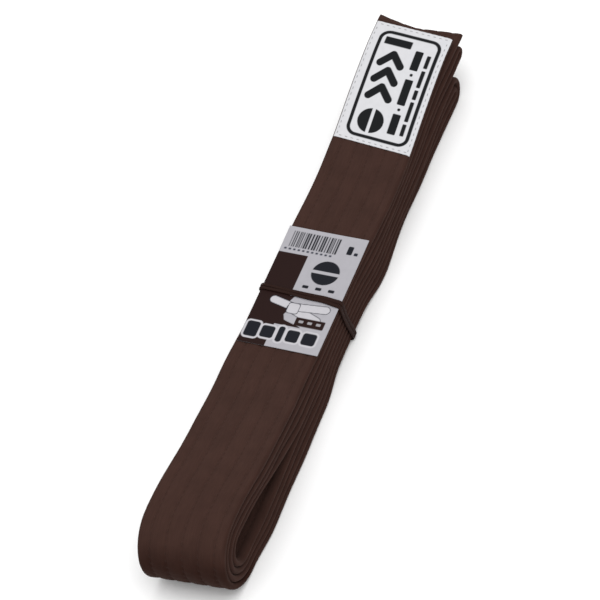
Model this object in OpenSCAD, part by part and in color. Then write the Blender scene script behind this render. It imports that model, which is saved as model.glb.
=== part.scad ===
// Martial arts belt, folded in half three times into a flat bundle of eight layers.
// An elastic band holds the bundle at its waist, with a size card under the band.
// +X runs along the bundle towards the free end with the woven label, +Y across it and +Z up.
// The origin is at the centre of the bundle's footprint, on the surface it lies on.
// Layer 1 is the top layer and layer 8 the bottom one.

/* [Belt strip] */
// Width of the belt
belt_w = 40; // [36:1:45]
// Thickness of the sewn strip
belt_t = 3.1; // [2.7:0.1:3.1]
// Thickness of the cotton cover
cover_t = 0.6; // [0.4:0.1:0.7]
// Distance between neighbouring rows of stitching
row_pitch = 7.5; // [6.5:0.5:8]
// Width of a sewing thread
thread_w = 0.5; // [0.3:0.1:0.6]

/* [Folded bundle] */
// Length over the folded bundle
bundle_l = 307; // [300:1:330]
// Height of the flat waist
waist_h = 27.2; // [27:0.1:28]
// Height over the closed end, where the layers turn round the eye
closed_h = 39.8; // [38:0.2:42]
// Height over the open end, where the two loose ends lie
open_h = 34.2; // [33.6:0.2:36]
// Height of the eye inside the closed end
eye_h = 13.5; // [8:0.5:14]
// Height of the notch between the upper and lower layers of the open end
notch_h = 0.5; // [0:0.5:3.5]
// How much further apart the lower four layers lie at the open end than at the waist
lower_spread = 0.75; // [0:0.05:0.9]

/* [Label, card and band] */
// Length of the woven label
label_l = 64.7; // [50:0.1:66]
// Width of the woven label
label_w = 39.2; // [30:0.1:39.6]
// Length of the size card
card_l = 65; // [50:0.1:70]
// Width of the size card
card_w = 39; // [30:0.5:40]
// Width of the elastic band
band_w = 4; // [2:0.5:4]
// Thickness of the elastic band
band_t = 1.05; // [0.8:0.05:1.1]

/* [Hidden] */

layers = 8;
plies = 4;
rows = 5;

// Places along the bundle
far_x = bundle_l / 2;                  // the cut of the inner loose end, under the free end
tip_x = far_x - 4.5;                   // the cut of the free end, and the first fold's reach
lower_fold_x = far_x - 20.8;           // the turns that join layers 5 to 8
hinge_x = 72;                          // where the free end starts to lift
label_x = far_x - 7.3;                 // the far edge of the label
card_x = 29.3;                         // the far edge of the card, as it lies at rest
band_x = -6;                           // the middle of the band at rest
pinch_h = 1.3;                         // how far the band lifts the underside of the waist
closed_x = closed_r() - far_x;         // where the layers start to turn at the closed end
first_fold_x = tip_x - open_r();       // where layers 3 and 4 start to turn

// The core, the sewing and the clearances between pieces
core_t = belt_t - 2 * cover_t;
ply_clear = 0.02;
ply_t = core_t / plies - ply_clear;
edge_wall = 0.9;
end_wall = 2.5;
groove_d = 0.3;
groove_w = thread_w + 0.2;
thread_t = groove_d - 0.05;
laid_clear = 0.04;
seam_inset = 2;
label_t = 0.37;
card_t = 0.45;
card_clear = 0.05;
band_clear = 0.3;
hinge_clear = 0.1;

cotton = [0.26, 0.18, 0.15];
core_cotton = [0.72, 0.66, 0.56];
thread_colour = [0.22, 0.15, 0.12];

// 0 up to a, 1 from b on, and a smooth step between them
function ease(x, a, b) =
    let (u = min(1, max(0, (x - a) / (b - a)))) u * u * (3 - 2 * u);

// Height of the top, of the underside, and of the gap between layers 4 and 5
function top_z(x) = waist_h
    + (closed_h - waist_h) * ease(-x, 38, 125)
    + (open_h - waist_h) * ease(x, 80, 140);
function under_z(x) = pinch_h * (1 - ease(abs(x - band_x), 16, 32));
function gap_h(x) = eye_h * ease(-x, 62, 122) + notch_h * ease(x, 85, 140);

// Height from one layer to the next, in the lower four and in the upper four
function mean_pitch(x) = (top_z(x) - under_z(x) - gap_h(x) - belt_t) / (layers - 1);
function lower_pitch(x) = mean_pitch(min(x, 80)) + lower_spread * ease(x, 80, 130);
function upper_pitch(x) = 2 * mean_pitch(x) - lower_pitch(x);
// Height of the middle of layer j
function layer_z(j, x) = j > 4
    ? under_z(x) + belt_t / 2 + (layers - j) * lower_pitch(x)
    : top_z(x) - belt_t / 2 - (j - 1) * upper_pitch(x);
// Outer radius of the closed end, and of the turn that joins layers 3 and 4
function closed_r() = (layer_z(1, -far_x) - layer_z(8, -far_x) + belt_t) / 2;
function open_r() = (layer_z(3, far_x) - layer_z(4, far_x) + belt_t) / 2;

// The middle line of the strip: one layer, and one turn from layer i to layer j
function run(j, xa, xb, n = 20) =
    [for (i = [0:n]) let (x = xa + (xb - xa) * i / n) [x, layer_z(j, x)]];
function turn(i, j, x, outward, n) =
    let (zi = layer_z(i, x), zj = layer_z(j, x), c = (zi + zj) / 2, r = (zi - zj) / 2)
    [for (k = [1:n - 1]) [x + outward * abs(r) * sin(180 * k / n), c + r * cos(180 * k / n)]];

fold_line = concat(
    run(1, hinge_x, closed_x), turn(1, 8, closed_x, -1, 16),
    run(8, closed_x, lower_fold_x), turn(8, 5, lower_fold_x, 1, 10),
    run(5, lower_fold_x, closed_x), turn(5, 4, closed_x, -1, 12),
    run(4, closed_x, first_fold_x), turn(4, 3, first_fold_x, 1, 8),
    run(3, first_fold_x, closed_x), turn(3, 6, closed_x, -1, 14),
    run(6, closed_x, lower_fold_x), turn(6, 7, lower_fold_x, 1, 8),
    run(7, lower_fold_x, closed_x), turn(7, 2, closed_x, -1, 16),
    run(2, closed_x, far_x - end_wall)
);
fold_end = [[far_x, layer_z(2, far_x)]];
free_line = run(1, tip_x - end_wall, hinge_x + hinge_clear);
free_end = [[tip_x, layer_z(1, tip_x)]];
// The stitch rows are laid on the outside of the top layer and of the closed end
sewn_line = concat(run(1, hinge_x, closed_x), turn(1, 8, closed_x, -1, 16));

// Unit normal of a line at point i, on the side of the belt's face, which is up on layer 1
function face_normal(line, i) =
    let (a = line[max(0, i - 1)], b = line[min(len(line) - 1, i + 1)], d = (b - a) / norm(b - a))
    [d[1], -d[0]];
function beside(line, s) = [for (i = [0:len(line) - 1]) line[i] + s * face_normal(line, i)];
function backwards(line) = [for (i = [len(line) - 1:-1:0]) line[i]];

function row_y(i) = (i - (rows + 1) / 2) * row_pitch;

// A strip of width w that follows a line, from height s0 to height s1 on its face side
module strip(line, s0, s1, w, y = 0) {
    translate([0, y, 0])
        rotate([90, 0, 0])
            linear_extrude(w, center = true)
                polygon(concat(beside(line, s0), backwards(beside(line, s1))));
}

// The sewn cotton cover along a line: hollow for the core, grooved where the rows are sewn
module sewn_cover(whole_line, core_line, groove_line) {
    difference() {
        strip(whole_line, -belt_t / 2, belt_t / 2, belt_w);
        strip(core_line, -core_t / 2, core_t / 2, belt_w - 2 * edge_wall);
        for (i = [1:rows])
            strip(groove_line, belt_t / 2 - groove_d, belt_t / 2 + groove_d, groove_w, row_y(i));
    }
}

module ply(line, i) {
    s = -core_t / 2 + (i - 0.5) * core_t / plies;
    color(core_cotton)
        strip(line, s - ply_t / 2, s + ply_t / 2, belt_w - 2 * edge_wall - 2 * ply_clear);
}

// A thread lies at the top of its groove, a little below the surface of the cover
module row_thread(line, i) {
    top = belt_t / 2 - laid_clear;
    color(thread_colour)
        strip(line, top - thread_t, top, thread_w, row_y(i));
}

// A row of stitches across a loose end, in a groove of its own
module cross_seam(x, z, grow = 0) {
    w = thread_w + 2 * grow;
    translate([x - w / 2, -belt_w / 2 + seam_inset - grow, z - laid_clear - thread_t - grow / 5])
        cube([w, belt_w - 2 * seam_inset + 2 * grow, thread_t + 4 * grow]);
}

module cover() {
    color(cotton)
        difference() {
            sewn_cover(concat(fold_line, fold_end), fold_line, sewn_line);
            cross_seam(far_x - 1.2, inner_seam_z(), 0.1);
        }
}
function inner_seam_z() = layer_z(2, far_x) + belt_t / 2;

module inner_end_seam() {
    color(thread_colour) cross_seam(far_x - 1.2, inner_seam_z());
}

module free_end_cover() {
    color(cotton)
        difference() {
            sewn_cover(concat(free_end, free_line), free_line, free_line);
            cross_seam(tip_x - 1.2, open_h, 0.1);
        }
}

module free_end_seam() {
    color(thread_colour) cross_seam(tip_x - 1.2, open_h);
}

module woven_label() {
    color("whitesmoke")
        strip(run(1, label_x, label_x - label_l),
              belt_t / 2 + laid_clear, belt_t / 2 + laid_clear + label_t, label_w);
}

// The stitching round the label's edge, laid on the label
module label_thread() {
    inset = 1.2;
    low = belt_t / 2 + 2 * laid_clear + label_t;
    high = low + thread_t;
    near_x = label_x - label_l + inset;
    color("gainsboro") {
        for (side = [-1, 1])
            strip(run(1, label_x - inset, near_x), low, high, thread_w,
                  side * (label_w / 2 - inset));
        for (x = [label_x - inset, near_x + thread_w])
            strip(run(1, x, x - thread_w, 1), low, high, label_w - 2 * inset);
    }
}

module size_card() {
    color("lightgray")
        translate([card_x - card_l, -card_w / 2, waist_h + card_clear])
            cube([card_l, card_w, card_t]);
}

// A closed loop round the bundle and the card
module elastic_band() {
    inner_y = belt_w / 2 + band_clear;
    inner_top = waist_h + card_clear + card_t + band_clear;
    color("saddlebrown")
        translate([band_x, 0, 0])
            rotate([90, 0, 90])
                linear_extrude(band_w, center = true)
                    difference() {
                        rounded_slot(inner_y + band_t, 0, inner_top + band_t, 1.8);
                        rounded_slot(inner_y, band_t, inner_top, 0.75);
                    }
}

// An upright rectangle with round corners, y wide to each side, from height z0 to z1
module rounded_slot(y, z0, z1, r) {
    translate([r - y, z0]) square([2 * (y - r), z1 - z0]);
    translate([-y, z0 + r]) square([2 * y, z1 - z0 - 2 * r]);
    for (cy = [r - y, y - r], cz = [z0 + r, z1 - r])
        translate([cy, cz]) circle(r, $fn = 48);
}

cover();
for (i = [1:plies]) {
    ply(fold_line, i);
    ply(free_line, i);
}
for (i = [1:rows]) {
    row_thread(sewn_line, i);
    row_thread(free_line, i);
}
inner_end_seam();
free_end_cover();
free_end_seam();
woven_label();
label_thread();
size_card();
elastic_band();
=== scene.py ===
# Looks of the folded martial arts belt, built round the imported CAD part. Lengths are in millimetres until a
# mesh is made. A point on the strip has u, its length along the strip from the free end's cut, and v, its
# place across the strip, from -20 to 20 towards +Y.
import math

import bmesh
import bpy
import numpy as np
from mathutils import Matrix, Vector


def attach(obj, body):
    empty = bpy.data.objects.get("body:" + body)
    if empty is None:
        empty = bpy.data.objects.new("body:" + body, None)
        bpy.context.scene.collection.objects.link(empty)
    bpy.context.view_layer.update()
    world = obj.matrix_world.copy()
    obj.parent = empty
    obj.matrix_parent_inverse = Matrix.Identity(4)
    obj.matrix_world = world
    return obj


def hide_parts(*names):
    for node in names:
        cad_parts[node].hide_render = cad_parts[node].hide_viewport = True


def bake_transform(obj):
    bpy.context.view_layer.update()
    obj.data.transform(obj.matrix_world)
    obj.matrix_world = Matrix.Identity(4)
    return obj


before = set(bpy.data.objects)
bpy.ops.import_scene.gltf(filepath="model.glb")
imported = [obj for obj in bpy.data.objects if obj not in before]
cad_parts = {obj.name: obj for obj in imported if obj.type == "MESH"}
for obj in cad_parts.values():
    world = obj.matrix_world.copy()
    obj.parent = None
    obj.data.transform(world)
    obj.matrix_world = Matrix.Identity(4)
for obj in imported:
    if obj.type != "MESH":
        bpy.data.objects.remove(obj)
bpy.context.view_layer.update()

MM = 0.001
BELT_W, BELT_T = 40.0, 3.1
LAYERS = 8
WAIST_H = 27.2
CLOSED_RISE, OPEN_RISE = 12.6, 7.0  # how much higher than the waist the two ends are
WAIST_LIFT = 1.3  # how far the band draws the waist up off the table
EYE_H, NOTCH_H = 13.5, 0.5  # extra gap between layers 4 and 5, at the closed end and at the open end
LOWER_SPREAD = 0.75  # how much further apart the lower layers lie at the open end
FAR_X = 153.5  # half the bundle's length
TIP_X = 149.0  # where the free end is cut
LOWER_X = 132.7  # where the lower layers start to turn at the open end
INNER_SPLIT_X = 62.0  # the inner end's own stretch starts here
BAND_X = -6.0
SPLIT_X = 10.0  # the cloth of the free end starts here, under the card
STITCH = 3.2  # from one needle hole to the next
ROWS = 5
ROW_Y = [(i - 2) * 7.4 - 0.5 for i in range(ROWS)]
ROW_SHIFT = 1.1  # how much nearer u = 0 each row's stitches lie than those of the row before
EDGE = 2.1  # width of the rounded edge
LABEL_X, LABEL_L, LABEL_W = 146.2, 64.7, 39.2  # its far end, length and width
LABEL_SLANT = 0.1
CARD_X, CARD_L, CARD_W = 29.3, 65.0, 38.8  # its far end, length and width
CARD_Z, CARD_T = 27.39, 0.4  # height of its underside, and its thickness


# --- the fold, as the CAD has it ---
def ease(x, a, b):
    """0 up to a, 1 from b on, and a smooth step between them."""
    t = np.clip((np.asarray(x, float) - a) / (b - a), 0, 1)
    return t * t * (3 - 2 * t)


def top_z(x):
    """Height of the bundle's top."""
    return WAIST_H + CLOSED_RISE * ease(-x, 38, 125) + OPEN_RISE * ease(x, 80, 140)


def under_z(x):
    """Height of the bundle's underside."""
    return WAIST_LIFT * (1 - ease(abs(x - BAND_X), 16, 32))


def gap_h(x):
    """Extra gap between layers 4 and 5."""
    return EYE_H * ease(-x, 62, 122) + NOTCH_H * ease(x, 85, 140)


def mean_pitch(x):
    """From one layer to the next, were they evenly spread."""
    return (top_z(x) - under_z(x) - gap_h(x) - BELT_T) / (LAYERS - 1)


def lower_pitch(x):
    """From one layer to the next in the lower half of the bundle."""
    return mean_pitch(np.minimum(x, 80)) + LOWER_SPREAD * ease(x, 80, 130)


def layer_z(j, x):
    """Height of the middle of layer j, counted from the top."""
    x = np.asarray(x, float)
    if j > LAYERS / 2:
        return under_z(x) + BELT_T / 2 + (LAYERS - j) * lower_pitch(x)
    return top_z(x) - BELT_T / 2 - (j - 1) * (2 * mean_pitch(x) - lower_pitch(x))


def end_radius(i, j, x):
    """Outer radius of the turn from layer i to layer j."""
    return float(layer_z(i, x) - layer_z(j, x) + BELT_T) / 2


CLOSED_X = end_radius(1, 8, -FAR_X) - FAR_X  # where every layer starts to turn at the closed end
FIRST_X = TIP_X - end_radius(3, 4, FAR_X)  # where layers 3 and 4 start to turn at the open end


def run(j, xa, xb):
    """The line of layer j from xa to xb."""
    x = np.linspace(xa, xb, int(abs(xb - xa) / 0.2) + 2)
    return np.stack([x, layer_z(j, x)], 1)


def turn(i, j, x, outward):
    """The half circle from layer i to layer j, outward 1 at the open end and -1 at the closed end."""
    zi, zj = float(layer_z(i, x)), float(layer_z(j, x))
    r = (zi - zj) / 2
    a = np.linspace(0, math.pi, max(12, int(abs(r) * 15)))[1:-1]
    return np.stack([x + outward * abs(r) * np.sin(a), (zi + zj) / 2 + r * np.cos(a)], 1)


# Each stretch of the strip: its line, its kind, and the step between its rings of mesh points. The kinds are
# 1 to 8 for a layer, 9 to 15 for a turn and 16 for the inner end, whose back is seen from above.
OUTER_TURN, LOWER_TURN, EYE_TURN, SMALL_TURN, INNER_END = 9, 10, 11, 12, 16
STRETCHES = [
    (run(1, TIP_X, CLOSED_X), 1, 0.64),
    (turn(1, 8, CLOSED_X, -1), OUTER_TURN, 0.64),
    (run(8, CLOSED_X, LOWER_X), 8, 1.28),
    (turn(8, 5, LOWER_X, 1), LOWER_TURN, 0.8),
    (run(5, LOWER_X, CLOSED_X), 5, 2.0),
    (turn(5, 4, CLOSED_X, -1), EYE_TURN, 0.8),
    (run(4, CLOSED_X, FIRST_X), 4, 2.0),
    (turn(4, 3, FIRST_X, 1), SMALL_TURN, 0.4),
    (run(3, FIRST_X, CLOSED_X), 3, 2.6),
    (turn(3, 6, CLOSED_X, -1), 13, 1.6),
    (run(6, CLOSED_X, LOWER_X), 6, 2.6),
    (turn(6, 7, LOWER_X, 1), 14, 0.4),
    (run(7, LOWER_X, CLOSED_X), 7, 2.6),
    (turn(7, 2, CLOSED_X, -1), 15, 1.6),
    (run(2, CLOSED_X, INNER_SPLIT_X), 2, 2.6),
    (run(2, INNER_SPLIT_X + 0.2, FAR_X), INNER_END, 0.64),
]
line = np.concatenate([s[0] for s in STRETCHES])
kinds = np.concatenate([np.full(len(s[0]), s[1]) for s in STRETCHES])
steps = np.concatenate([np.full(len(s[0]), s[2]) for s in STRETCHES])
arc = np.concatenate([[0], np.cumsum(np.linalg.norm(np.diff(line, axis=0), axis=1))])
tangent = np.gradient(line, arc, axis=0)
for _ in range(2):  # takes the small kinks out where a run meets a turn
    tangent[1:-1] = (tangent[:-2] + 2 * tangent[1:-1] + tangent[2:]) / 4
tangent /= np.linalg.norm(tangent, axis=1)[:, None]
LENGTH = float(arc[-1])
ALONG = {"x": line[:, 0], "z": line[:, 1], "tx": tangent[:, 0], "tz": tangent[:, 1]}
on_layer_1 = kinds == 1
layer_1_x, layer_1_u = line[on_layer_1][::-1, 0], arc[on_layer_1][::-1]


def u_of(x):
    """Length along the strip of the point of the top layer at x."""
    return np.interp(x, layer_1_x, layer_1_u)


def at(u, name):
    """The strip's middle line at u: its place x or z, or its direction tx or tz."""
    return np.interp(u, arc, ALONG[name])


def on_top(u):
    """1 on the top layer, 0 elsewhere."""
    return (u < layer_1_u[0]).astype(float)


def waves(seed, count, short, long, tilt=1.0):
    """A smooth random field of (u, v), about -1 to 1, with wavelengths from short to long."""
    rng = np.random.default_rng(seed)
    length = rng.uniform(short, long, count)
    angle = rng.uniform(-1, 1, count) * tilt
    phase = rng.uniform(0, 2 * math.pi, count)

    def field(u, v=0.0):
        total = 0
        for w, a, p in zip(length, angle, phase):
            k = 2 * math.pi / w
            total = total + np.sin(k * (u * math.cos(a) + v * math.sin(a)) + p)
        return total / math.sqrt(count)

    return field


lumps = waves(3, 14, 7, 26, 1.4)
creases = waves(4, 16, 2.6, 6, 1.5)
sway_far = waves(5, 7, 60, 260)
sway_near = waves(6, 7, 18, 50)
lift_wave = waves(8, 6, 40, 120, 0.8)


def bell(x, middle, width):
    """1 at the middle, falling off smoothly on both sides."""
    return np.exp(-(((x - middle) / width) ** 2))


def lean(x, z):
    """How far the bundle leans to one side: its top winds a little, and the lower layers lie towards -Y."""
    top = 1.35 * bell(x, -45, 16) - 1.3 * bell(x, -100, 20) - 1.8 * bell(x, 57, 28)
    low = -0.6 - 1.4 * ease(-x, 22, 46) * ease(x, -134, -112)
    low = low - 1.6 * bell(x, 30, 15) - 0.4 * bell(x, 132, 10)
    share = np.clip(z / top_z(x), 0, 1) ** 1.3
    return top * share + low * (1 - share) - 1.2 * ease(x, 115, 140) * bell(z, 21, 6)


def sway(u):
    """How far the strip lies to one side of the bundle's middle: the layers aren't stacked quite true."""
    x, top = at(u, "x"), on_top(u)
    own = (0.28 * sway_far(u) + 0.12 * sway_near(u)) * (1 - 0.8 * top) * (1 - 0.9 * bell(x, BAND_X, 26))
    inner_end = -0.6 * ease(u, LENGTH - 45, LENGTH)
    return lean(x, at(u, "z")) + own + inner_end


def askew(u, y):
    """Each end of the bundle runs a little askew: how far x moves at y."""
    x, top = at(u, "x"), on_top(u)
    closed_end = -0.073 * ease(-x, 95, 138) * (y - BELT_W / 2)
    open_end = 0.1 * top * ease(x, 78, 84) - 0.035 * (1 - top) * ease(x, 105, 152)
    small_turn = -0.03 * ease(x, 120, 148) * bell(at(u, "z"), 22, 4)
    return closed_end + (open_end + small_turn) * y


def end_shape(u, y):
    """The cut of the free end runs out to a corner at +Y, and the inner end stops a little short."""
    run_out = 3.5 * np.clip((y + BELT_W / 2) / BELT_W, 0, 1) ** 2.5 - 1.2
    return run_out * (1 - ease(u, 0, 3.2)) - 1.2 * ease(u, LENGTH - 8, LENGTH)


def squeeze(u):
    """What the strip's width is multiplied by: the band draws the edges of every layer in a little."""
    return 1 - 0.022 * bell(at(u, "x"), BAND_X, 26)


def rounded(share):
    """How thick a rounded edge is, from 1 at share 0 to 0 at share 1."""
    return (1 - share**2.3) ** (1 / 2.3)


def half(u, v, side):
    """Half the strip's thickness: full between the rows, drawn in along them and at each needle hole."""
    edge = np.clip((abs(v) - BELT_W / 2 + EDGE) / EDGE, 0, 1)
    to_row = np.min([abs(v - r) for r in ROW_Y], axis=0)
    row = np.argmin([abs(v - r) for r in ROW_Y], axis=0)
    h = 1.4 + 0.16 * (1 - bell(to_row, 0, 1.9))
    h = h - 0.3 * bell(to_row, 0, 0.75)
    along = u + ROW_SHIFT * row
    to_hole = abs((along / STITCH + 0.5) % 1 - 0.5) * STITCH
    h = h - 0.2 * bell(to_row, 0, 0.9) * bell(to_hole, 0, 0.75)
    pucker = np.cos(2 * math.pi * along / STITCH + 0.9 * (v - 2))
    h = h + 0.035 * bell(to_row, 0, 2.6) * pucker
    h = h + 0.035 * lumps(u + 37 * side, v) + 0.022 * creases(u + 11 * side, v)
    x = at(u, "x")
    under_label = on_top(u) * ease(x, 80, 83) * (1 - ease(x, 145, 147)) * (side > 0)
    h = h - 0.1 * under_label  # pressed down by the label's sewing
    # The cover is folded in at the loose ends, and the inner one stays the thicker.
    free_tip, inner_tip = 0.42 + 0.58 * ease(u, 0, 1.6), 0.7 + 0.3 * ease(LENGTH - u, 0, 1.2)
    return h * rounded(edge) * free_tip * inner_tip


def bow(u, v):
    """How far the top layer rises and falls, away from the band."""
    return 0.06 * lift_wave(u, v) * on_top(u) * ease(abs(at(u, "x") - BAND_X), 30, 60)


def surface(u, v, side, lift=0.0):
    """The point of the strip's face (side 1) or back (side -1) at (u, v), or one lifted off it."""
    u, v, side = np.broadcast_arrays(np.asarray(u, float), np.asarray(v, float), np.asarray(side, float))
    off = side * (half(u, v, side) + lift)
    tx, tz = at(u, "tx"), at(u, "tz")
    y = v * squeeze(u) + sway(u)
    x = at(u, "x") + tz * off + askew(u, y) + end_shape(u, y)
    droop = 0.8 * ease(u, LENGTH - 14, LENGTH)
    z = at(u, "z") - tx * off + bow(u, v) - droop
    return np.stack([x, y, z], -1)


# --- meshes ---
def quad_mesh(name, points, quads, uv=None, print_and_shade=None):
    """A smooth mesh of quads turned outwards, with its uv, and with the colours it carries: print on the
    label and card, painted shade on the belt's cloth and stitches.
    """
    points, quads = np.asarray(points, float).reshape(-1, 3), np.asarray(quads, np.int32)
    a, b, c, d = (points[quads[:, k]] for k in range(4))
    volume = (np.cross(b, c) * a).sum() + (np.cross(c, d) * a).sum()
    if volume < 0:
        quads = quads[:, ::-1]
    me = bpy.data.meshes.new(name)
    me.vertices.add(len(points))
    me.vertices.foreach_set("co", (points * MM).astype(np.float32).ravel())
    me.loops.add(quads.size)
    me.loops.foreach_set("vertex_index", np.ascontiguousarray(quads).ravel())
    me.polygons.add(len(quads))
    me.polygons.foreach_set("loop_start", np.arange(0, quads.size, 4, dtype=np.int32))
    me.update(calc_edges=True)
    me.polygons.foreach_set("use_smooth", np.ones(len(quads), bool))
    if uv is not None:
        layer = me.uv_layers.new(name="Cloth")
        layer.data.foreach_set("uv", np.asarray(uv, np.float32).reshape(-1, 2)[quads.ravel()].ravel())
    if print_and_shade is not None:
        colours = np.ones((len(points), 4), np.float32)
        colours[:, :3] = np.asarray(print_and_shade).reshape(-1, 3)
        me.attributes.new("print_and_shade", "FLOAT_COLOR", "POINT").data.foreach_set("color", colours.ravel())
    me.validate()
    ob = bpy.data.objects.new(name, me)
    bpy.context.scene.collection.objects.link(ob)
    return ob


def grid_quads(rows, columns, wrap=False, first=0):
    """Quads of a grid of points, row by row. With wrap, each row is a closed ring."""
    i, j = np.meshgrid(np.arange(rows - 1), np.arange(columns if wrap else columns - 1), indexing="ij")
    k = (j + 1) % columns
    this, following = i * columns, (i + 1) * columns
    return np.stack([this + j, this + k, following + k, following + j], -1).reshape(-1, 4) + first


# Points across the strip: close together at its edges and along the rows. The last row's last point would
# fall on the edge, so it is left out.
from_edge = (0, 0.09, 0.32, 0.72, 1.3, 2.1, 2.9)
from_row = (-1.1, -0.5, 0, 0.5, 1.1, 2.3, 3.7, 5.1)
across = [-BELT_W / 2 + a for a in from_edge] + [BELT_W / 2 - a for a in from_edge]
across += [r + d for r in ROW_Y for d in from_row][:-1]
across += [ROW_Y[0] - 2.0]
across = np.array(sorted(across))
HALF_RING = len(across)
profile_v = np.concatenate([across, across[-2:0:-1]])
profile_side = np.concatenate([np.ones(HALF_RING), -np.ones(HALF_RING - 2)])
END_STEP = 0.2  # from ring to ring at the strip's two ends


def ring_places(u0, u1):
    """Where the rings of points of a stretch of cloth go, from u0 to u1."""
    places = [u0]
    while places[-1] < u1:
        u = places[-1]
        step = float(steps[min(len(steps) - 1, np.searchsorted(arc, u, side="right"))])
        if u < 1.6 or u > LENGTH - 2.2:
            step = END_STEP
        places.append(u + step)
    places[-1] = u1
    if places[-1] - places[-2] < END_STEP / 2:
        del places[-2]
    return np.array(places)


# How dark the deepest painted shade makes the belt's cloth and stitches, colour by colour.
DEEPEST_SHADE = (0.5, 0.34, 0.27)


def painted_shade(u, v):
    """Painted shade, which the cloth's colour is multiplied by: darker along both edges, on the sides of the
    layers, and low on the closed end.
    """
    # Painted shade on the sides of every layer.
    edge = 0.42 * ease(abs(v), 18.2, 19.8) + 0 * u
    # Painted shade low on the outer turn of the closed end.
    outer_wrap = u < arc[kinds == 8].max()
    front = ease(-at(u, "x"), 120, 142) * ease(-at(u, "z"), -36.5, -22) * outer_wrap + 0 * v
    shade_amount = np.maximum(edge, front)[..., None]
    return 1 - shade_amount * (1 - np.array(DEEPEST_SHADE))


def close_tips(ob):
    """Adds the two triangles at the edges of each end face."""
    bm = bmesh.new()
    bm.from_mesh(ob.data)
    bmesh.ops.holes_fill(bm, edges=[e for e in bm.edges if e.is_boundary], sides=4)
    for f in bm.faces:
        f.smooth = True
    bm.to_mesh(ob.data)
    bm.free()


def cloth(name, u0, u1):
    """The strip from u0 to u1: rings of points all the way along, with a flat face at each end."""
    u = ring_places(u0, u1)
    ring = len(profile_v)
    points = surface(u[:, None], profile_v[None, :], profile_side[None, :])
    quads = [grid_quads(len(u), ring, wrap=True)]
    upper = np.arange(1, HALF_RING - 1)
    lower = ring - upper
    end_face = np.stack([upper[:-1], upper[1:], lower[1:], lower[:-1]], -1)
    quads += [end_face[:, ::-1], end_face + (len(u) - 1) * ring]
    uv = np.stack(np.broadcast_arrays(u[:, None], profile_v[None, :]), -1)
    # The cloth carries its painted shade as colours.
    ob = quad_mesh(name, points, np.concatenate(quads), uv=uv, print_and_shade=painted_shade(u[:, None], profile_v[None, :]))
    close_tips(ob)
    return ob


def stitches(name, u, v, side, turned=False, length=2.3, radius=0.24, lift=0.06, place=surface):
    """Short lengths of sewing thread at each (u, v), diving into the cloth at both ends. They lie along the
    strip, or across it when they are turned."""
    u, v, side = (np.asarray(a, float).reshape(-1, 1, 1) for a in (u, v, side))
    t = np.array([-1, -0.82, -0.45, 0, 0.45, 0.82, 1]).reshape(1, -1, 1)
    a = (np.arange(6) * math.pi / 3).reshape(1, 1, -1)
    fat = np.sqrt(np.clip(1 - np.abs(t) ** 3, 0.02, 1)) * radius
    along = t * length / 2 + 0 * a
    beside = fat * np.cos(a)
    rise = lift + fat * np.sin(a) * 0.8 - 0.16 * np.abs(t) ** 3
    if turned:
        along, beside = beside, along
    points = place(u + along, v + beside, side + 0 * along, rise)
    rings, ring = t.size, a.size
    last = (rings - 1) * ring
    caps = np.array([[0, 1, 2, 3], [0, 3, 4, 5]])
    one = np.concatenate([grid_quads(rings, ring, wrap=True), caps, caps[:, ::-1] + last])
    quads = (one[None] + (np.arange(len(u)) * rings * ring)[:, None, None]).reshape(-1, 4)
    uv = np.stack(np.broadcast_arrays(u + along, a * 0.3 + 0 * along), -1)
    # Stitches on the belt carry the same painted shade as the cloth under them.
    print_and_shade = painted_shade(u + along, v + beside) if place is surface else None
    return quad_mesh(name, points, quads, uv=uv, print_and_shade=print_and_shade)


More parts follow.
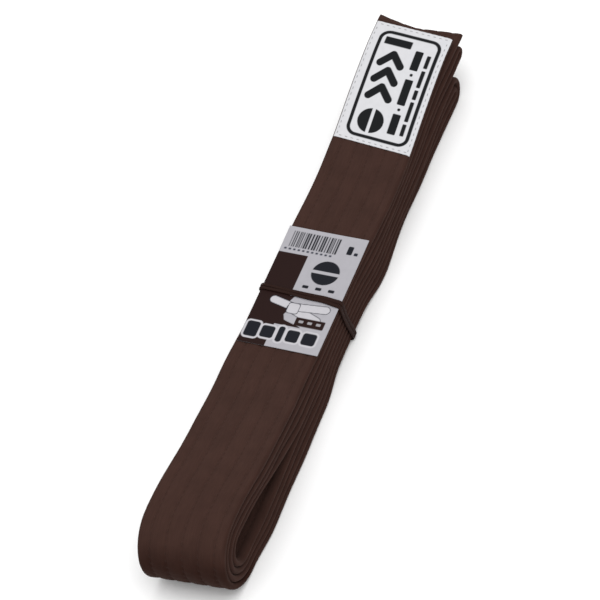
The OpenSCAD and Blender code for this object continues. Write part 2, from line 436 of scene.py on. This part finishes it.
# --- materials ---
class Nodes:
    """A material's node tree, with short names for what this scene uses."""

    def __init__(self, name):
        self.mat = bpy.data.materials.new(name)
        self.mat.use_nodes = True
        self.tree = self.mat.node_tree
        self.shader = self.tree.nodes["Principled BSDF"]

    def add(self, kind, **props):
        node = self.tree.nodes.new(kind)
        for prop, value in props.items():
            setattr(node, prop, value)
        return node

    def link(self, a, b):
        self.tree.links.new(a, b)

    def coords(self, scale=(1, 1, 1), turn=0.0):
        place = self.add("ShaderNodeTexCoord")
        mapping = self.add("ShaderNodeMapping")
        mapping.inputs["Scale"].default_value = scale
        mapping.inputs["Rotation"].default_value = (0, 0, turn)
        self.link(place.outputs["UV"], mapping.inputs["Vector"])
        return mapping.outputs["Vector"]

    def print_and_shade(self):
        """The colours that the mesh carries: print on the label and card, painted shade on the belt's cloth
        and stitches.
        """
        return self.add("ShaderNodeAttribute", attribute_name="print_and_shade").outputs["Color"]

    def noise(self, vector, scale, detail):
        node = self.add("ShaderNodeTexNoise")
        node.inputs["Scale"].default_value = scale
        node.inputs["Detail"].default_value = detail
        self.link(vector, node.inputs["Vector"])
        return node.outputs["Fac"]

    def wave(self, vector, period, distortion=0.0):
        """Bands that repeat after a period in millimetres."""
        node = self.add("ShaderNodeTexWave")
        node.inputs["Scale"].default_value = math.pi / (10 * period)
        node.inputs["Distortion"].default_value = distortion
        node.inputs["Detail"].default_value = 1.0
        self.link(vector, node.inputs["Vector"])
        return node.outputs["Fac"]

    def math(self, operation, a, b):
        node = self.add("ShaderNodeMath", operation=operation)
        for socket, value in zip(node.inputs, (a, b)):
            if isinstance(value, (int, float)):
                socket.default_value = value
            else:
                self.link(value, socket)
        return node.outputs[0]

    def blend(self, a, b, share_a, share_b):
        """A weighted sum of two heights."""
        return self.math("ADD", self.math("MULTIPLY", a, share_a), self.math("MULTIPLY", b, share_b))

    def ramp(self, value, stops):
        node = self.add("ShaderNodeValToRGB")
        while len(node.color_ramp.elements) < len(stops):
            node.color_ramp.elements.new(0.5)
        for element, (place, colour) in zip(node.color_ramp.elements, stops):
            element.position, element.color = place, (*colour, 1)
        self.link(value, node.inputs["Fac"])
        return node.outputs["Color"]

    def multiply(self, a, b):
        """The product of two colours. The sockets 0, 6 and 7 are the Mix node's factor and its colours."""
        node = self.add("ShaderNodeMix", data_type="RGBA", blend_type="MULTIPLY")
        node.inputs[0].default_value = 1.0
        self.link(a, node.inputs[6])
        self.link(b, node.inputs[7])
        return node.outputs[2]

    def bump(self, height, strength, distance):
        node = self.add("ShaderNodeBump")
        node.inputs["Strength"].default_value = strength
        node.inputs["Distance"].default_value = distance
        self.link(height, node.inputs["Height"])
        self.link(node.outputs["Normal"], self.shader.inputs["Normal"])

    def finish(self, roughness, specular, colour, sheen=0.0, sheen_tint=(1, 1, 1)):
        """Sets the shader's look. The colour is three numbers or a socket."""
        self.shader.inputs["Roughness"].default_value = roughness
        self.shader.inputs["Specular IOR Level"].default_value = specular
        self.shader.inputs["Sheen Weight"].default_value = sheen
        self.shader.inputs["Sheen Roughness"].default_value = 0.5
        self.shader.inputs["Sheen Tint"].default_value = (*sheen_tint, 1)
        if isinstance(colour, tuple):
            self.shader.inputs["Base Color"].default_value = (*colour, 1)
        else:
            self.link(colour, self.shader.inputs["Base Color"])
        return self.mat


def tint(colour, k):
    return tuple(c * k for c in colour)


COTTON = (0.0445, 0.0215, 0.0165)


def cotton_material():
    nodes = Nodes("belt_cotton")
    twill = nodes.wave(nodes.coords(turn=math.radians(52)), 0.62, 0.6)
    warp = nodes.wave(nodes.coords(turn=math.radians(90)), 0.5, 0.5)
    slub = nodes.noise(nodes.coords(scale=(0.12, 1.6, 1)), 1.2, 4)
    fade = nodes.noise(nodes.coords(), 0.09, 4)
    height = nodes.blend(twill, warp, 0.7, 0.3)
    height = nodes.math("ADD", height, nodes.math("MULTIPLY", slub, 0.8))
    nodes.bump(height, 0.55, 0.00009)
    faded = nodes.ramp(fade, [(0.3, tint(COTTON, 0.92)), (0.7, tint(COTTON, 1.1))])
    worn = nodes.ramp(slub, [(0.3, (0.86, 0.85, 0.85)), (0.75, (1.06, 1.06, 1.07))])
    threads = nodes.ramp(twill, [(0.0, (0.9, 0.9, 0.9)), (1.0, (1.05, 1.05, 1.05))])
    plain = nodes.multiply(nodes.multiply(faded, worn), threads)
    # The cloth's colour times the painted shade that it carries.
    colour = nodes.multiply(plain, nodes.print_and_shade())
    return nodes.finish(0.9, 0.08, colour, sheen=0.03, sheen_tint=(0.9, 0.6, 0.5))


def thread_material():
    nodes = Nodes("sewing_thread")
    twist = nodes.wave(nodes.coords(turn=math.radians(40)), 0.35)
    nodes.bump(twist, 0.5, 0.00005)
    plain = nodes.ramp(twist, [(0, tint(COTTON, 0.85)), (1, tint(COTTON, 1.1))])
    # The thread's colour times the painted shade that it carries.
    colour = nodes.multiply(plain, nodes.print_and_shade())
    return nodes.finish(0.75, 0.08, colour, sheen=0.03, sheen_tint=(1, 0.8, 0.7))


def printed(nodes, grain, roughness, specular, strength, depth):
    """Finishes a material whose print is in the mesh's ink, with a grain over it."""
    nodes.bump(grain, strength, depth)
    shade = nodes.ramp(nodes.noise(nodes.coords(), 0.35, 4), [(0.3, (0.95, 0.95, 0.95)), (0.7, (1, 1, 1))])
    return nodes.finish(roughness, specular, nodes.multiply(nodes.print_and_shade(), shade))


def label_material():
    nodes = Nodes("label_satin")
    warp = nodes.wave(nodes.coords(), 0.6)
    weft = nodes.wave(nodes.coords(turn=math.radians(90)), 0.36)
    return printed(nodes, nodes.blend(warp, weft, 0.35, 0.65), 0.55, 0.08, 0.3, 0.00004)


def card_material():
    nodes = Nodes("card_stock")
    return printed(nodes, nodes.noise(nodes.coords(), 1.6, 5), 0.55, 0.12, 0.12, 0.00003)


def label_thread_material():
    nodes = Nodes("label_thread")
    twist = nodes.wave(nodes.coords(turn=math.radians(40)), 0.3)
    nodes.bump(twist, 0.4, 0.00004)
    return nodes.finish(0.5, 0.4, nodes.ramp(twist, [(0, (0.2, 0.2, 0.21)), (1, (0.4, 0.4, 0.41))]))


def band_material():
    nodes = Nodes("band_rubber")
    ribs = nodes.wave(nodes.coords(turn=math.radians(90)), 0.32)
    turns = nodes.wave(nodes.coords(), 0.5, 0.3)
    height = nodes.blend(ribs, turns, 0.6, 0.4)
    nodes.bump(height, 0.6, 0.00008)
    colour = nodes.ramp(height, [(0.2, (0.012, 0.005, 0.0036)), (0.9, (0.032, 0.015, 0.0115))])
    return nodes.finish(0.7, 0.06, colour)


def dress(ob, look, slot_name, *nodes):
    """Gives a piece its material and hides the CAD nodes that it stands for. The slot name is not used."""
    ob.data.materials.append(look)
    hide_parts(*nodes)


# --- the strip and its sewing ---
SPLIT_U = float(u_of(SPLIT_X))
SEEN_KINDS = (1, 8, OUTER_TURN, LOWER_TURN, EYE_TURN, SMALL_TURN)
SEAM_IN = 1.9  # from a cut to its seam


def hold(ob, free):
    """Bakes the place of a piece of the free end into its mesh, and keeps any other on the fold."""
    if free:
        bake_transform(ob)
    else:
        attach(ob, "belt_fold")


def row_stitches(row, free):
    """The u, v and side of a row's stitches that can be seen, on the free end or on the rest."""
    u = (np.arange(int(LENGTH / STITCH) + 2) + 0.5) * STITCH - ROW_SHIFT * row
    u = u[(u > STITCH) & (u < LENGTH - STITCH)]
    kind = kinds[np.clip(np.searchsorted(arc, u), 0, len(arc) - 1)]
    x = at(u, "x")
    on_free_end = u < SPLIT_U
    # The free end's back is seen past its bend, and layers 4 and 5 are seen in the eye and in the notch.
    if free:
        face = on_free_end & ((x > LABEL_X + 0.5) | (x < LABEL_X - LABEL_L - 0.5))
        back = on_free_end & (x > 66)
    else:
        face = ~on_free_end & np.isin(kind, SEEN_KINDS)
        face |= np.isin(kind, (4, 5)) & ((x < -70) | (x > 90))
        back = kind == INNER_END
    side = np.concatenate([np.ones(face.sum()), -np.ones(back.sum())])
    return np.concatenate([u[face], u[back]]), np.full(len(side), ROW_Y[row]), side


def seam(name, node, u, free):
    """Stitches side by side along a cut, on both faces."""
    v = np.arange(-17.6, 17.7, 2.7)
    side = np.repeat((1, -1), len(v))
    ob = stitches(name, np.full(len(side), u), np.tile(v, 2), side, turned=True, length=2.0, lift=0.02)
    dress(ob, thread_look, "sewing_thread", node)
    hold(ob, free)


cotton_look, thread_look = cotton_material(), thread_material()
free_cloth = cloth("cloth_free_end", 0.0, SPLIT_U)
fold_cloth = cloth("cloth_fold", SPLIT_U, LENGTH)
dress(free_cloth, cotton_look, "belt_cotton", "free_end_cover", *[f"free_end_ply_{i}" for i in range(1, 5)])
dress(fold_cloth, cotton_look, "belt_cotton", "cover", *[f"core_ply_{i}" for i in range(1, 5)])
for row in range(ROWS):
    for free in (True, False):
        prefix, node = ("free_end_stitches", "free_end_stitch") if free else ("stitches_row", "stitch_row")
        ob = stitches(f"{prefix}_{row + 1}", *row_stitches(row, free))
        dress(ob, thread_look, "sewing_thread", f"{node}_{row + 1}")
        hold(ob, free)
seam("seam_free_end", "free_end_seam", SEAM_IN, True)
seam("seam_inner_end", "inner_end_seam", LENGTH - SEAM_IN, False)
hold(free_cloth, True)
hold(fold_cloth, False)


# --- printed and woven marks: signed distances, less than 0 inside a shape ---
def box_sd(x, y, cx, cy, hx, hy, r=0.0):
    qx, qy = abs(x - cx) - hx + r, abs(y - cy) - hy + r
    return np.hypot(np.maximum(qx, 0), np.maximum(qy, 0)) + np.minimum(np.maximum(qx, qy), 0) - r


def disc_sd(x, y, cx, cy, r):
    return np.hypot(x - cx, y - cy) - r


def stroke_sd(x, y, xa, ya, xb, yb, w):
    dx, dy = xb - xa, yb - ya
    t = np.clip(((x - xa) * dx + (y - ya) * dy) / (dx * dx + dy * dy), 0, 1)
    return np.hypot(x - xa - t * dx, y - ya - t * dy) - w


def paint(print_and_shade, sd, colour, soft=0.16):
    """Lays a colour on the ink where sd is inside."""
    k = np.clip(0.5 - sd / soft, 0, 1)[..., None]
    print_and_shade[...] = print_and_shade * (1 - k) + np.array(colour) * k


def sheet_mesh(name, top, bottom, uv, print_and_shade, backing):
    """A closed thin sheet from its top and bottom grids."""
    rows, columns = top.shape[:2]
    count = rows * columns
    upper = grid_quads(rows, columns)
    lower = grid_quads(rows, columns, first=count)[:, ::-1]
    edge = [i * columns for i in range(rows)] + [(rows - 1) * columns + j for j in range(1, columns)]
    edge += [i * columns + columns - 1 for i in range(rows - 2, -1, -1)]
    edge = np.array(edge + list(range(columns - 2, 0, -1)))
    following = np.roll(edge, -1)
    rim = np.stack([edge, following, following + count, edge + count], -1)
    points = np.concatenate([top.reshape(-1, 3), bottom.reshape(-1, 3)])
    inks = np.concatenate([print_and_shade.reshape(-1, 3), np.broadcast_to(backing, (count, 3))])
    uvs = np.concatenate([uv.reshape(-1, 2)] * 2)
    return quad_mesh(name, points, np.concatenate([upper, lower, rim]), uv=uvs, print_and_shade=inks)


# --- the woven label ---
WHITE = (0.58, 0.58, 0.6)
BLACK = (0.007, 0.008, 0.009)
LABEL_T = 0.32
INSET, LABEL_STITCH = 1.3, 3.05  # from the label's edge to its stitching, and from one stitch to the next


def label_row(print_and_shade, a, b, start, middle, widths, half_height, gap, corner):
    """A row of plain bars along the label. The narrow ones are dots."""
    for width in widths:
        height = half_height if width > 2 else 0.75
        paint(print_and_shade, box_sd(a, b, start + width / 2, middle, width / 2, height, corner), BLACK)
        start += width + gap


def label_art(a, b):
    """The woven label's marks: a from its near edge, b from its middle line, up towards +Y."""
    print_and_shade = np.zeros(a.shape + (3,)) + np.array(WHITE)
    frame_sd = box_sd(a, b, 32.0, -0.9, 29.0, 16.1, 5.4)
    paint(print_and_shade, np.maximum(frame_sd, -(frame_sd + 1.8)), BLACK)
    split_disc = np.maximum(disc_sd(a, b, 12.8, 4.4, 6.6), -box_sd(a, b, 12.8, 4.4, 8, 0.8))
    paint(print_and_shade, split_disc, BLACK)
    for i in range(3):
        tip = 31.0 + 8.8 * i
        arms = [stroke_sd(a, b, tip - 5.6, 4.7 + way * 5.2, tip, 4.7, 1.9) for way in (-1, 1)]
        paint(print_and_shade, np.minimum(*arms), BLACK)
    paint(print_and_shade, box_sd(a, b, 55.3, 4.7, 2.1, 7.0, 0.4), BLACK)
    label_row(print_and_shade, a, b, 8.5, -7.3, (11.0, 1.5, 13.5, 1.5, 10.5), 2.1, 1.7, 0.6)
    label_row(print_and_shade, a, b, 9.0, -12.6, (6.5, 10.5, 5.0, 9.0, 7.0), 1.0, 1.3, 0.4)
    return print_and_shade


def label_place(a, b, side, lift=0.0):
    """A point of the label, or one lifted off it: side 1 is its top and -1 its underside."""
    x = LABEL_X - LABEL_L + a + LABEL_SLANT * b
    u = u_of(LABEL_X - LABEL_L + a)
    edge = np.clip((abs(b) - (BELT_W / 2 - EDGE)) / EDGE, 0, 1)
    h = 1.52 * rounded(edge) + 0.06
    rim = np.minimum(np.minimum(a, LABEL_L - a), LABEL_W / 2 - abs(b))
    h = h + 0.03 * lumps(u + 37, b) - 0.05 * bell(rim, INSET, 0.7)
    h = h + 0.05 * bell(rim, 0, 0.6) * np.sin(2 * math.pi * (a + b) / 3.1)
    h = h + LABEL_T / 2 * (side + 1) + lift
    tx, tz = at(u, "tx"), at(u, "tz")
    y = b - 0.35 + sway(u)
    return np.stack([x + tz * h, y, at(u, "z") - tx * h + bow(u, b)], -1)


def woven_label():
    half_w = LABEL_W / 2
    a, b = np.meshgrid(np.linspace(0, LABEL_L, 260), np.linspace(-half_w, half_w, 164), indexing="ij")
    top, bottom = label_place(a, b, 1), label_place(a, b, -1)
    ob = sheet_mesh("label_satin_sheet", top, bottom, np.stack([a, b], -1), label_art(a, b), WHITE)
    dress(ob, label_material(), "label_satin", "woven_label")
    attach(ob, "free_end")
    return ob


def label_stitches(name, a, b, turned):
    side = np.ones(len(a))
    ob = stitches(name, a, b, side, turned=turned, length=1.7, radius=0.2, lift=0.03, place=label_place)
    dress(ob, label_thread_look, "label_thread", "label_thread")
    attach(ob, "free_end")


label = woven_label()
label_thread_look = label_thread_material()
along_a = np.arange(INSET + 1.2, LABEL_L - INSET - 0.6, LABEL_STITCH)
along_b = np.arange(-LABEL_W / 2 + INSET + 1.2, LABEL_W / 2 - INSET - 0.6, LABEL_STITCH)
side_b = np.repeat((LABEL_W / 2 - INSET, INSET - LABEL_W / 2), len(along_a))
end_a = np.repeat((INSET, LABEL_L - INSET), len(along_b))
label_stitches("label_stitches_sides", np.tile(along_a, 2), side_b, False)
label_stitches("label_stitches_ends", end_a, np.tile(along_b, 2), True)

# --- the size card ---
GREY = (0.36, 0.352, 0.378)
PALE = (0.47, 0.46, 0.485)
BROWN = (0.0135, 0.0034, 0.0024)
NAVY = (0.0062, 0.0072, 0.0115)


def card_top_marks(print_and_shade, u, v):
    """A strip of plain bars, which spell nothing, with dots, a short mark, a dark field and a split disc."""
    rng = np.random.default_rng(21)
    place = 3.4
    while place < 26.2:
        width, space = rng.choice([0.34, 0.5, 0.8]), rng.choice([0.3, 0.42, 0.7])
        paint(print_and_shade, box_sd(u, v, 58.5, place + width / 2, 4.3, width / 2), NAVY, 0.3)
        place += width + space
    for k in range(11):
        paint(print_and_shade, box_sd(u, v, 52.9, 2.4 + 2.2 * k, 0.5, 0.6, 0.3), tint(NAVY, 4), 0.4)
    paint(print_and_shade, box_sd(u, v, 57.6, 32.4, 2.3, 1.3, 0.6), NAVY)
    paint(print_and_shade, box_sd(u, v, 56.1, 35.7, 0.8, 0.9, 0.4), tint(NAVY, 2))
    paint(print_and_shade, box_sd(u, v, 38.0, 5.5, 12.7, 8.9), BROWN)
    split_disc = np.maximum(disc_sd(u, v, 43.4, 25.8, 6.6), -box_sd(u, v, 43.4, 25.8, 0.85, 9))
    paint(print_and_shade, split_disc, NAVY)
    for k in range(3):
        paint(print_and_shade, box_sd(u, v, 34.4, 19.5 + 6.3 * k, 0.75, 1.5, 0.4), NAVY)


def card_knot(print_and_shade, u, v):
    """A dark field with a ragged edge, and on it a knotted belt in plain strokes."""
    edge = 15.5 + 1.6 * abs((u / 3.6) % 2 - 1) + 9.5 * (1 - ease(u, 12.2, 15.5))
    paint(print_and_shade, np.maximum(np.maximum(v - edge, u - 28.5), 12.4 - u), BROWN)
    tails = ((24.9, 8.2, 23.0, 17.0, 1.8), (22.0, 18, 17.2, 31, 2.3), (22.8, 20, 24.0, 33.6, 1.9))
    for *ends, width in tails:
        paint(print_and_shade, stroke_sd(u, v, *ends, width + 0.32), tint(NAVY, 2))
        paint(print_and_shade, stroke_sd(u, v, *ends, width), PALE)
    paint(print_and_shade, box_sd(u, v, 22.0, 18.6, 3.0, 2.9, 1.2), tint(NAVY, 2))
    paint(print_and_shade, box_sd(u, v, 22.0, 18.6, 2.7, 2.6, 1.1), PALE)
    paint(print_and_shade, box_sd(u, v, 15.6, 29.0, 2.3, 7.0, 0.5), BROWN)
    for k in range(3):
        paint(print_and_shade, box_sd(u, v, 15.8, 24.8 + 4.2 * k, 0.7, 1.1, 0.4), tint(PALE, 0.6))


def card_blocks(print_and_shade, u, v):
    """A row of plain blocks with a pale outline: the middle, half width and half height of each."""
    paint(print_and_shade, box_sd(u, v, 5.5, 5.5, 7.0, 7.7), BROWN)
    blocks = ((4.3, 3.2, 4.1), (11.8, 3.2, 3.2), (18.0, 1.5, 4.2), (24.0, 3.0, 3.2), (31.9, 3.3, 3.2))
    for grow, colour in ((0.95, PALE), (0, NAVY)):
        for middle, half_w, half_h in blocks:
            block = box_sd(u, v, 7.4, middle, half_h + grow, half_w + grow, 1.3 + grow)
            paint(print_and_shade, block, colour)


def card_place(u, v, up):
    """A point of the card, which is flat under the band and lifts a little at its far end."""
    x = CARD_X - CARD_L + u
    y = CARD_W / 2 - v - 0.1 - 0.5 * u / CARD_L
    far = ease(u, 42, 65)
    z = CARD_Z + 0.45 * far * far * (0.4 + 0.6 * ease(-v, -26, 0))
    z = z + (0.015 + 0.04 * far) * np.sin(u / 6.1 + 0.7) * np.sin(v / 9.0)
    return np.stack([x, y, z + up], -1)


def size_card():
    """The printed card: u from its near edge, v from its +Y edge."""
    u, v = np.meshgrid(np.linspace(0, CARD_L, 240), np.linspace(0, CARD_W, 150), indexing="ij")
    print_and_shade = np.zeros(u.shape + (3,)) + np.array(GREY)
    for marks in (card_top_marks, card_knot, card_blocks):
        marks(print_and_shade, u, v)
    top, bottom = card_place(u, v, CARD_T), card_place(u, v, 0)
    ob = sheet_mesh("card_printed", top, bottom, np.stack([u, v], -1), print_and_shade, tint(GREY, 0.8))
    dress(ob, card_material(), "card_stock", "size_card")
    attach(ob, "card")


size_card()

# --- the elastic band ---
BAND_POINTS = 240  # round the bundle
STRAND_POINTS = 14  # round each of the two strands


def band_loop():
    """Middle line of the band, once round the bundle: an upright rectangle with round corners."""
    hy, z0, z1, r = 20.2, 0.74, 28.36, 1.9
    corners = [(hy - r, z1 - r, 0), (r - hy, z1 - r, 90), (r - hy, z0 + r, 180), (hy - r, z0 + r, 270)]
    path = []
    for cy, cz, start in corners:
        for k in range(13):
            t = math.radians(start + 90 * k / 12)
            path.append((cy + r * math.cos(t), cz + r * math.sin(t)))
    path = np.array(path + path[:1])
    far = np.concatenate([[0], np.cumsum(np.linalg.norm(np.diff(path, axis=0), axis=1))])
    s = np.linspace(0, far[-1], BAND_POINTS, endpoint=False)
    return s, np.interp(s, far, path[:, 0]), np.interp(s, far, path[:, 1])


def band_strands():
    """The two strands side by side, a little slack and slanting across the card."""
    s, y, z = band_loop()
    middle = np.stack([y, z], 1)
    t = np.roll(middle, -1, 0) - np.roll(middle, 1, 0)
    t /= np.linalg.norm(t, axis=1)[:, None]
    out = np.stack([t[:, 1], -t[:, 0]], 1)  # away from the bundle
    y = y + lean(BAND_X, z) - 0.15
    slant = 0.5 * ease(y, -4, 20) - 0.7 * ease(-y, -4, 20) + 0.12 * np.sin(s / 5.0)
    slant = slant + 1.4 * ease(-z, -20, 0) * (y < 0) - 0.9 * ease(-y, 10, 20) * ease(z, 0, 26)
    spread = 0.78 + 0.24 * ease(-y, -8, 18)
    a = np.arange(STRAND_POINTS) * 2 * math.pi / STRAND_POINTS
    i, j = np.meshgrid(np.arange(BAND_POINTS), np.arange(STRAND_POINTS), indexing="ij")
    i2, j2 = (i + 1) % BAND_POINTS, (j + 1) % STRAND_POINTS
    ring = STRAND_POINTS
    strand_quads = np.stack([i * ring + j, i * ring + j2, i2 * ring + j2, i2 * ring + j], -1).reshape(-1, 4)
    points, quads, uvs = [], [], []
    for k, side in enumerate((-1, 1)):
        wobble = 0.1 * np.sin(s / 7.3 + 2 * k) + 0.07 * np.sin(s / 3.1 + k)
        cx = BAND_X + slant + side * spread * (0.98 + wobble)
        thick, wide = 0.43 + 0.03 * np.sin(s / 4 + k), spread[:, None]
        px = cx[:, None] + wide * np.sign(np.cos(a)) * abs(np.cos(a)) ** 0.8
        rise = thick[:, None] * np.sin(a)[None, :]
        py = y[:, None] + out[:, :1] * rise
        pz = z[:, None] + out[:, 1:] * rise
        points.append(np.stack([px, py, pz], -1).reshape(-1, 3))
        quads.append(strand_quads + k * BAND_POINTS * ring)
        uvs.append(np.stack(np.broadcast_arrays(s[:, None], (a * 0.7)[None, :]), -1).reshape(-1, 2))
    return quad_mesh("band_strands", np.concatenate(points), np.concatenate(quads), uv=np.concatenate(uvs))


band = band_strands()
dress(band, band_material(), "band_rubber", "elastic_band")
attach(band, "band")

# --- floor, light and camera ---
scene = bpy.context.scene
scene.view_settings.view_transform = "Standard"
bpy.ops.mesh.primitive_plane_add(size=9, location=(0, 0, -0.0001))
floor = bpy.context.object
floor.name = "floor"
floor.data.materials.append(Nodes("floor_pale").finish(0.9, 0.1, (0.95, 0.95, 0.95)))

world = bpy.data.worlds.new("studio")
scene.world = world
world.use_nodes = True
background = world.node_tree.nodes["Background"]
background.inputs["Color"].default_value = (1, 1, 1, 1)
background.inputs["Strength"].default_value = 0.8


def area_light(name, place, aim, size, watts):
    data = bpy.data.lights.new(name, "AREA")
    data.shape, data.size, data.energy = "DISK", size, watts
    ob = bpy.data.objects.new(name, data)
    ob.location = place
    ob.rotation_euler = (Vector(aim) - Vector(place)).to_track_quat("-Z", "Y").to_euler()
    scene.collection.objects.link(ob)


def camera(azimuth, elevation, roll, distance, target, lens):
    """The photo's viewpoint, from a fit of the label, the card and the outline. Angles are in degrees."""
    a, e, r = (math.radians(k) for k in (azimuth, elevation, roll))
    back = Vector((math.sin(a) * math.cos(e), -math.cos(a) * math.cos(e), math.sin(e)))
    right = Vector((math.cos(a), math.sin(a), 0))
    up = back.cross(right)
    right, up = right * math.cos(r) + up * math.sin(r), up * math.cos(r) - right * math.sin(r)
    data = bpy.data.cameras.new("camera")
    data.lens, data.sensor_width = lens, 36
    ob = bpy.data.objects.new("camera", data)
    place = Vector(target) + back * distance
    ob.matrix_world = Matrix.Translation(place) @ Matrix((right, up, back)).transposed().to_4x4()
    scene.collection.objects.link(ob)
    scene.camera = ob


area_light("key_light", place=(-0.1, -0.35, 2.0), aim=(0, 0, 0), size=2.2, watts=28)
camera(-53.74, 51.62, roll=-18.8, distance=1.5, target=(0.0034, 0.0081, 0.0088), lens=198.8)
